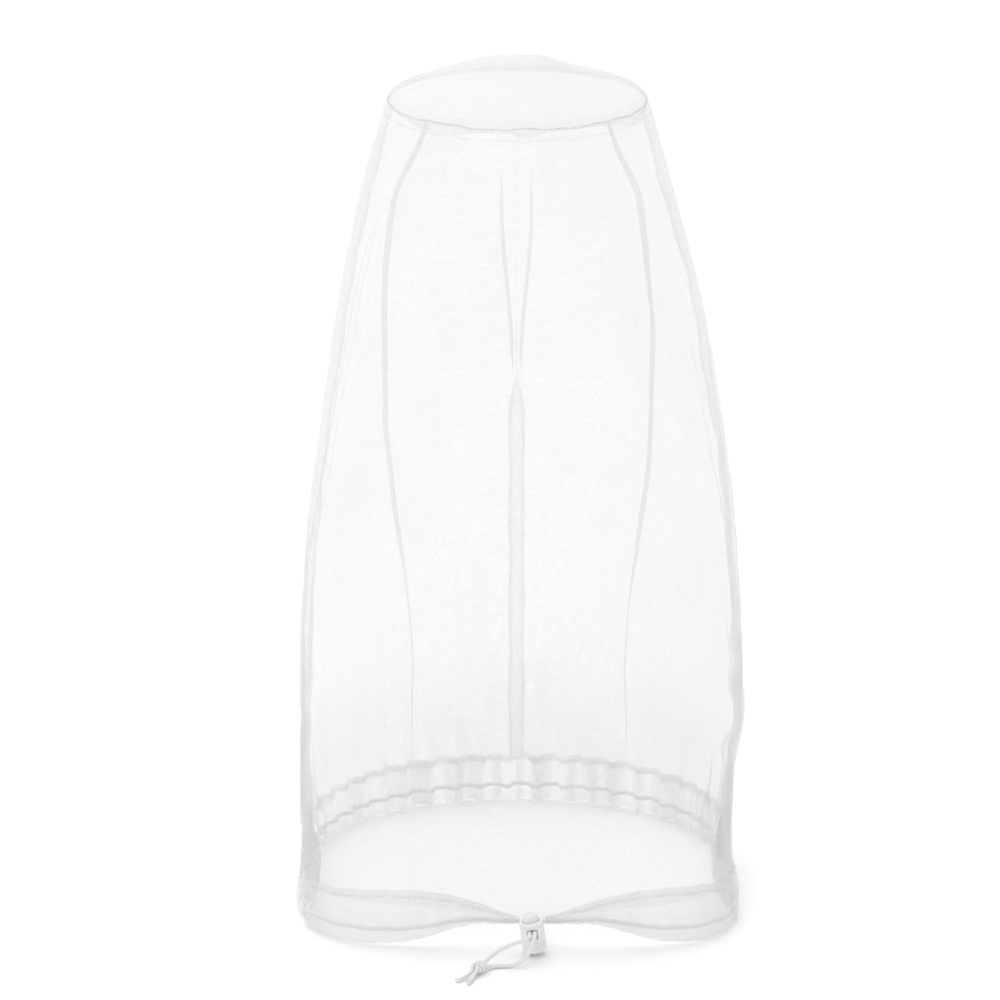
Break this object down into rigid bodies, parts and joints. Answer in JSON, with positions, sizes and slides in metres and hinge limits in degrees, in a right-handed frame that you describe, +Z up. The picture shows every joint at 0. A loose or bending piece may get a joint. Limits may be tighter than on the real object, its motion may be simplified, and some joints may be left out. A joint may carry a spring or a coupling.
{
  "type": "beekeeping head net",
  "caption": "Sheer net bag worn over a hat to keep insects off the head and neck, with a domed crown and a drawcord hem closed by a spring cord lock.",
  "frame": {"origin": "on the surface that the hem stands on, under the middle of the bag's box, with the cord lock and its cord left out", "axes": "+Z up through the crown, -Y the way the wearer faces, towards the cord lock, +X to the right when the front is seen"},
  "size_m": [0.2462, 0.3052, 0.469],
  "materials": {
    "netting": "sheer white knitted hex net",
    "seam_tape": "white overlocked seam edge",
    "hem_net": "white net folded double and stitched",
    "cord": "white braided elastic cord",
    "lock_plastic": "white moulded plastic, satin",
    "button_plastic": "white moulded plastic, satin",
    "spring_steel": "drawn spring wire"
  },
  "bodies": {
    "veil": {"crown_panel": "netting", "crown_piping": "seam_tape", "front_panel": "netting", "back_panel_left": "netting", "back_panel_right": "netting", "side_seam_tape_left": "seam_tape", "side_seam_tape_right": "seam_tape", "back_seam_tape": "seam_tape", "hem_casing_front_left": "hem_net", "hem_casing_front_right": "hem_net", "hem_casing_back_left": "hem_net", "hem_casing_back_right": "hem_net", "drawcord": "cord", "drawcord_tail_left": "cord", "drawcord_tail_right": "cord", "tail_knot": "cord"},
    "lock": {"lock_barrel": "lock_plastic", "lock_spring": "spring_steel"},
    "button": {"lock_plunger": "button_plastic"}
  },
  "joints": [
    {"name": "lock_slide", "type": "slide", "parent": "veil", "child": "lock", "axis": [0, -1, 0], "range_m": [0, 0.005]},
    {"name": "button_press", "type": "slide", "parent": "lock", "child": "button", "axis": [0.1392, 0, -0.9903], "range_m": [0, 0.003], "stiffness_N_per_m": 600, "springref_m": -0.004, "deforming": ["lock_spring"]}
  ]
}
